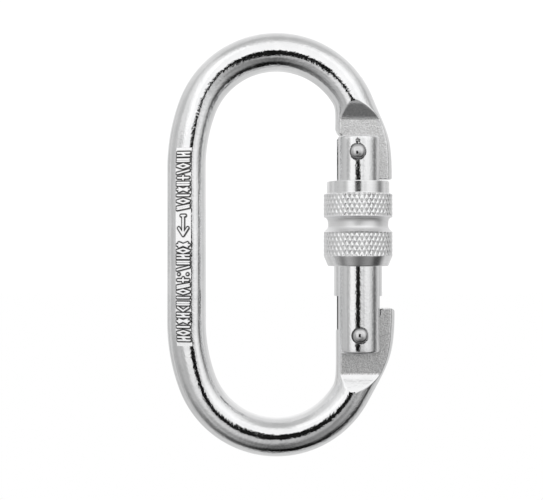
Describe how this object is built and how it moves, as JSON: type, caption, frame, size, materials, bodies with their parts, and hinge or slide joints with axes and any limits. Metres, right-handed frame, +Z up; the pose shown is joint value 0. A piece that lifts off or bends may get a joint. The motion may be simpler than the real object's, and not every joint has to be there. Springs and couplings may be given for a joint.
{
  "type": "oval screw-lock carabiner",
  "caption": "Oval steel bar carabiner with a sprung hinged gate, a hooked nose and a knurled sleeve that screws up to lock it.",
  "frame": {"origin": "the top of the eye, where an anchor bears on the inside of the upper bend, in the bar's middle plane", "axes": "+Z up along the load line, +X towards the gate, -Y towards the front, +Y through the bar's middle plane"},
  "size_m": [0.0591, 0.0178, 0.11],
  "materials": {
    "zinc_steel": "bright zinc plate over forged steel, glossy on the round bar and fine-pitted on the pressed ends",
    "gate_steel": "bright zinc plate over turned steel, lengthwise streaks",
    "rivet_steel": "polished domed head",
    "sleeve_alloy": "satin turned, diamond knurl on two bands",
    "plunger_steel": "turned",
    "spring_steel": "drawn wire"
  },
  "bodies": {
    "frame": {"frame": "zinc_steel"},
    "gate": {"gate_body": "gate_steel", "latch_rivet": "rivet_steel", "hinge_rivet": "rivet_steel", "gate_spring": "spring_steel"},
    "sleeve": {"locking_sleeve": "sleeve_alloy"},
    "plunger": {"gate_plunger": "plunger_steel"}
  },
  "joints": [
    {"name": "gate_hinge", "type": "hinge", "parent": "frame", "child": "gate", "pos_m": [0.0213, 0, -0.06825], "axis": [0, -1, 0], "range_deg": [0, 24], "stiffness_Nm_per_rad": 0.2, "springref_deg": -34.38},
    {"name": "sleeve_slide", "type": "slide", "parent": "gate", "child": "sleeve", "axis": [0, 0, 1], "range_m": [-0.0104, 0.00035]},
    {"name": "plunger_slide", "type": "slide", "parent": "gate", "child": "plunger", "axis": [0, 0, 1], "range_m": [0, 0.0012], "deforming": ["gate_spring"]}
  ],
  "couplings": [
    {"joint": "plunger_slide", "follows": "gate_hinge", "m_per_rad": 0.0025}
  ]
}
